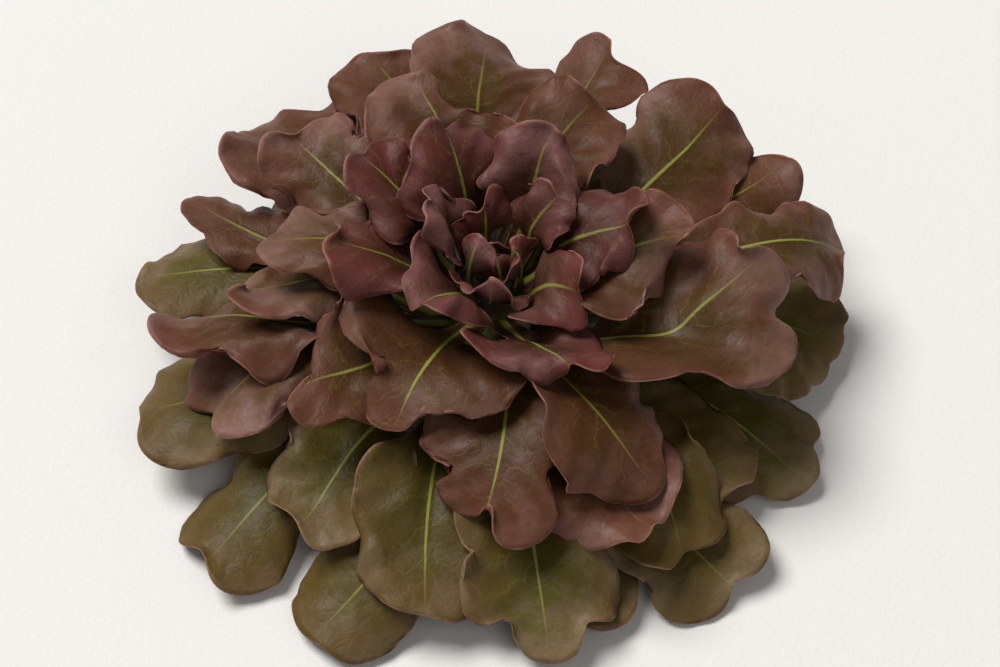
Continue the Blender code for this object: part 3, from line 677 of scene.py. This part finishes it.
class Graph:
    """A short way to write a material's nodes."""

    def __init__(self, name):
        self.material = bpy.data.materials.new(name)
        self.material.use_nodes = True
        self.nodes = self.material.node_tree.nodes
        self.links = self.material.node_tree.links
        self.shader = self.nodes["Principled BSDF"]

    def put(self, value, socket):
        """Links a socket's value, or sets a plain one. None leaves it as it is."""
        if isinstance(value, bpy.types.NodeSocket):
            self.links.new(value, socket)
        elif value is not None:
            socket.default_value = value

    def math(self, operation, a, b=None, c=None, clamp=False):
        node = self.nodes.new("ShaderNodeMath")
        node.operation = operation
        node.use_clamp = clamp
        for value, socket in zip((a, b, c), node.inputs):
            self.put(value, socket)
        return node.outputs[0]

    def product(self, a, *others):
        for b in others:
            a = self.math("MULTIPLY", a, b)
        return a

    def scaled(self, value, factor, add, clamp=False):
        """value * factor + add."""
        return self.math("MULTIPLY_ADD", value, factor, add, clamp)

    def attribute(self, name):
        node = self.nodes.new("ShaderNodeAttribute")
        node.attribute_name = name
        return node.outputs["Fac"]

    def step(self, value, low, high, to_low=0.0, to_high=1.0):
        """to_low where value is under low, to_high where it is over high, and an S-curve between."""
        node = self.nodes.new("ShaderNodeMapRange")
        node.interpolation_type = "SMOOTHSTEP"
        for k, number in enumerate((value, low, high, to_low, to_high)):
            self.put(number, node.inputs[k])
        return node.outputs[0]

    def mix(self, factor, a, b, blend="MIX"):
        node = self.nodes.new("ShaderNodeMix")
        node.data_type = "RGBA"
        node.blend_type = blend
        self.put(factor, node.inputs["Factor"])
        self.put(a, node.inputs[6])
        self.put(b, node.inputs[7])
        return node.outputs[2]

    def join(self, x, y, z):
        node = self.nodes.new("ShaderNodeCombineXYZ")
        for value, socket in zip((x, y, z), node.inputs):
            self.put(value, socket)
        return node.outputs[0]

    def noise(self, place, scale, detail, rough):
        node = self.nodes.new("ShaderNodeTexNoise")
        self.put(place, node.inputs["Vector"])
        self.put(scale, node.inputs["Scale"])
        self.put(detail, node.inputs["Detail"])
        self.put(rough, node.inputs["Roughness"])
        return node.outputs["Fac"]

    def cells(self, place, scale):
        """The distance to the nearest wall between cells."""
        node = self.nodes.new("ShaderNodeTexVoronoi")
        node.feature = "DISTANCE_TO_EDGE"
        self.put(place, node.inputs["Vector"])
        self.put(scale, node.inputs["Scale"])
        return node.outputs["Distance"]

    def finish(self, colour, roughness, relief, distance, strength):
        """Sets the shader's colour, roughness and bump."""
        bump = self.nodes.new("ShaderNodeBump")
        self.put(strength, bump.inputs["Strength"])
        self.put(distance, bump.inputs["Distance"])
        self.put(relief, bump.inputs["Height"])
        self.put(colour, self.shader.inputs["Base Color"])
        self.put(roughness, self.shader.inputs["Roughness"])
        self.put(bump.outputs[0], self.shader.inputs["Normal"])


def blade_colour(g, ink, part, edge, from_rib, broad, patch, fine):
    """Green by the rib and towards the base, brown between, and purple lobes with a painted sheen, a pale
    highlight; painted shade darkens it towards the base and away from the margin.
    """
    lobe = g.step(g.scaled(g.math("SUBTRACT", patch, 0.5), 12.0, edge), 0.0, 18.0, 1.0, 0.0)
    lobe = g.product(lobe, g.step(part, 0.25, 0.7), g.attribute("ripe"))
    near_base = g.step(part, 0.1, 0.6, 0.8, 0.0)
    near_rib = g.product(g.step(from_rib, 0.0, 16.0, 0.65, 0.0), g.step(part, 0.5, 1.0, 1.0, 0.3))
    greenness = g.math("ADD", near_base, near_rib)
    greenness = g.scaled(g.math("SUBTRACT", broad, 0.5), 0.8, greenness)
    greenness = g.math("SUBTRACT", greenness, 0.5)
    greenness = g.scaled(g.attribute("fresh"), 0.9, greenness, clamp=True)
    # Painted sheen: a pale purple-grey highlight laid on the raised purple lobes, broken up by broad noise.
    painted_sheen = g.product(lobe, g.step(broad, 0.2, 0.9, 0.05, 0.75))
    colour = g.mix(lobe, ink.brown, ink.purple)
    colour = g.mix(greenness, colour, ink.green)
    colour = g.mix(painted_sheen, colour, ink.painted_sheen)
    # Speckled, and with painted shade: darker towards the base and away from the margin, lighter at the
    # margin.
    speckle = g.scaled(fine, 0.6, g.scaled(patch, 0.36, 0.5))
    # depth is painted shade, for the dark hollows between the crowded leaves of the heart.
    depth = g.product(g.step(part, 0.2, 0.9, 0.2, 1.1), g.step(edge, 0.5, 20.0, 1.25, 0.5))
    return g.mix(1.0, colour, g.product(speckle, depth), "MULTIPLY")


def vein_mask(g, across, part, from_rib, patch):
    """1 on the side veins, and less where they thin out and by the base."""
    wander = g.product(g.math("SUBTRACT", patch, 0.5), 0.5)
    stagger = g.product(g.math("GREATER_THAN", across, 0.0), VEIN_STAGGER)
    count = g.math("ADD", g.math("ADD", g.attribute("vein"), stagger), wander)
    from_middle = g.math("ABSOLUTE", g.math("SUBTRACT", g.math("FRACT", count), 0.5))
    vein = g.step(g.math("SUBTRACT", 0.5, from_middle), 0.0, 0.075, 1.0, 0.0)
    return g.product(vein, g.step(from_rib, 3.0, 24.0, 1.0, 0.1), g.step(part, 0.1, 0.3))


def leaf_material(name, ink):
    """Leaf skin: green, brown and purple, with pale veins, a fine net and a thin pink margin."""
    g = Graph(name)
    across, along, part, edge = (g.attribute(key) for key in ("across", "along", "part", "edge"))
    place = g.join(across, along, g.product(g.attribute("seed"), SEED_DISTANCE))
    broad = g.step(g.noise(place, BROAD_SCALE, 3.0, 0.55), 0.36, 0.64)
    patch = g.step(g.noise(place, PATCH_SCALE, 4.0, 0.6), 0.34, 0.66)
    fine = g.noise(place, FINE_SCALE, 4.0, 0.6)
    net = g.cells(place, NET_SCALE)
    from_rib = g.math("ABSOLUTE", across)
    colour = blade_colour(g, ink, part, edge, from_rib, broad, patch, fine)
    vein = vein_mask(g, across, part, from_rib, patch)
    colour = g.mix(g.product(vein, 0.42), colour, VEIN_COLOUR)
    colour = g.mix(g.step(net, 0.0, 0.10, 0.12, 0.0), colour, NET_COLOUR)
    colour = g.mix(g.product(g.attribute("under"), 0.55), colour, ink.under)
    midrib = g.product(g.step(g.attribute("rib"), 0.45, 1.05, 1.0, 0.0), g.step(part, 0.72, 1.0, 1.0, 0.0))
    midrib = g.product(midrib, g.attribute("rib_strength"))
    colour = g.mix(g.product(midrib, 0.88), colour, RIB_COLOUR)
    margin = g.product(g.step(edge, 0.0, 0.5, 0.75, 0.0), g.step(patch, 0.3, 0.6, 0.4, 1.0))
    colour = g.mix(margin, colour, MARGIN_COLOUR)
    roughness = g.scaled(patch, 0.12, g.scaled(fine, 0.22, 0.32))
    relief = g.product(g.step(net, 0.0, 0.22), 0.35)
    relief = g.scaled(patch, 1.1, g.scaled(fine, 0.45, relief))
    relief = g.math("SUBTRACT", relief, g.product(vein, 0.5))
    g.finish(colour, roughness, relief, 0.0004, 0.4)
    g.shader.inputs["Specular IOR Level"].default_value = LEAF_GLOSS
    return g.material


def core_material():
    """The stem: pale green, with faint rings, browned round the cut, and with painted shade on its top
    between the heart leaves.
    """
    g = Graph("core")
    place = g.nodes.new("ShaderNodeTexCoord").outputs["Object"]
    parts = g.nodes.new("ShaderNodeSeparateXYZ")
    g.put(place, parts.inputs[0])
    x, y, z = parts.outputs
    radius = g.math("SQRT", g.math("ADD", g.product(x, x), g.product(y, y)))
    blotch = g.noise(place, STEM_BLOTCH_SCALE, 4.0, 0.6)
    ring = g.math("SINE", g.math("ADD", g.product(radius, STEM_RING_RATE), g.product(blotch, 6.0)))
    pith = g.scaled(ring, 0.12, g.product(blotch, 0.5))
    colour = g.mix(pith, STEM_PALE, STEM_PITH)
    browned = g.product(g.step(radius, 0.0088, 0.0128), g.step(z, 0.0006, 0.0030, 1.0, 0.0))
    colour = g.mix(g.product(browned, g.scaled(blotch, 0.8, 0.2)), colour, STEM_CUT)
    colour = g.mix(g.step(z, 0.004, 0.030, 0.0, 0.7), colour, STEM_GREEN)
    # Painted shade: the core's top goes dark between the heart leaves.
    colour = g.mix(g.step(z, 0.030, 0.046), colour, g.mix(blotch, STEM_PAINTED_SHADE, STEM_PAINTED_SHADE_BROWN))
    g.finish(colour, g.scaled(blotch, 0.25, 0.38), g.scaled(ring, 0.2, blotch), 0.0005, 0.6)
    return g.material


def floor_material():
    """Matt pale paper."""
    g = Graph("paper")
    place = g.nodes.new("ShaderNodeTexCoord").outputs["Object"]
    grain = g.noise(place, PAPER_GRAIN_SCALE, 4.0, 0.65)
    colour = g.mix(g.product(grain, 0.5), PAPER_LIGHT, PAPER_GREY)
    g.finish(colour, 0.85, grain, 0.0008, 0.35)
    g.shader.inputs["Specular IOR Level"].default_value = 0.15
    return g.material


def leaves():
    """Lays the leaves as the CAD model does, and stands a fine leaf for each."""
    skins = {slot: leaf_material(f"{slot}_skin", ink) for slot, ink in INKS.items()}
    ranks = sum(len(members) for members in RINGS.values()) - len(BUD) - 1
    placed = []
    all_verts = np.zeros((0, 3))
    all_faces = np.zeros((0, 3), int)
    # The first leaf is tested against a lone triangle below the floor, which it can't touch.
    laid = BVHTree.FromPolygons([(0, 0, -1), (1, 0, -1), (0, 1, -1)], [(0, 1, 2)])
    for ring, members in RINGS.items():
        s, t = grid(*GRIDS[ring])
        for number, drawn in enumerate(members, 1):
            leaf, sheet, height = laid_leaf(drawn, len(placed), ranks, placed, s, t, laid)
            placed.append((leaf.azimuth + leaf.swing, height, base_angle(leaf, height)))
            verts, faces = leaf_solid(sheet, s, t, leaf)
            all_faces = np.vstack([all_faces, faces + len(all_verts)])
            all_verts = np.vstack([all_verts, verts])
            laid = BVHTree.FromPolygons(all_verts.tolist(), all_faces.tolist())
            natural = leaf_sheet(leaf, height, s, t)
            fine = fine_leaf(leaf, number, height, sheet, natural, ring)
            node = f"{ring}_{number:02d}"
            made = piece(f"{node}_blade", *fine, skins[SLOTS[ring]])
            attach(made, "root")
            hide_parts(node)


def core_piece():
    """The core keeps its CAD shape and gets the stem's material."""
    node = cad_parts["core"]
    node.data.materials.clear()
    node.data.materials.append(core_material())


# The floor, the camera and the lights, in metres.
FLOOR_HALF_WIDTH = 4
LENS = 85.0
SENSOR = 36.0
CLIP_START = 0.01
VIEW_WIDTH = 0.3720
CAMERA_HEIGHT = math.radians(53)
AIM_RIGHT = 0.0036
AIM_UP = 0.0098
SKY_STRENGTH = 0.15
KEY_LIGHT = {"place": (-4.20, 2.70, 8.70), "size": 6.0, "power": 1050.0, "colour": (1.0, 0.995, 0.985)}
FILL_LIGHT = {"place": (1.8, -3.0, 3.9), "size": 3.6, "power": 36.0, "colour": (1.0, 1.0, 1.0)}


def stage():
    h = FLOOR_HALF_WIDTH
    mesh = bpy.data.meshes.new("floor")
    mesh.from_pydata([(-h, -h, 0), (h, -h, 0), (h, h, 0), (-h, h, 0)], [], [(0, 1, 2, 3)])
    mesh.materials.append(floor_material())
    floor = bpy.data.objects.new("floor", mesh)
    bpy.context.scene.collection.objects.link(floor)


def pointed(name, data, place, way):
    """A camera or a light at a place, looking along way."""
    made = bpy.data.objects.new(name, data)
    made.location = place
    made.rotation_mode = "QUATERNION"
    made.rotation_quaternion = way.to_track_quat("-Z", "Y")
    bpy.context.scene.collection.objects.link(made)
    return made


def camera():
    """The camera looks down from the front, from where VIEW_WIDTH just fills the frame."""
    back = Vector((0, -math.cos(CAMERA_HEIGHT), math.sin(CAMERA_HEIGHT)))
    right = Vector((1, 0, 0))
    up = right.cross(-back)
    data = bpy.data.cameras.new("camera")
    data.lens = LENS
    data.sensor_width = SENSOR
    data.clip_start = CLIP_START
    place = right * AIM_RIGHT + up * AIM_UP + back * VIEW_WIDTH * LENS / SENSOR
    bpy.context.scene.camera = pointed("camera", data, place, -back)


def area_light(name, place, size, power, colour):
    data = bpy.data.lights.new(name, "AREA")
    data.shape = "DISK"
    data.size = size
    data.energy = power
    data.color = colour
    pointed(name, data, place, -Vector(place))


def light():
    world = bpy.data.worlds.new("studio")
    world.use_nodes = True
    sky = world.node_tree.nodes["Background"]
    sky.inputs["Color"].default_value = (1.0, 1.0, 1.0, 1)
    sky.inputs["Strength"].default_value = SKY_STRENGTH
    bpy.context.scene.world = world
    area_light("key", **KEY_LIGHT)
    area_light("fill", **FILL_LIGHT)
    bpy.context.scene.view_settings.view_transform = "Standard"


camera()
light()
stage()
leaves()
core_piece()
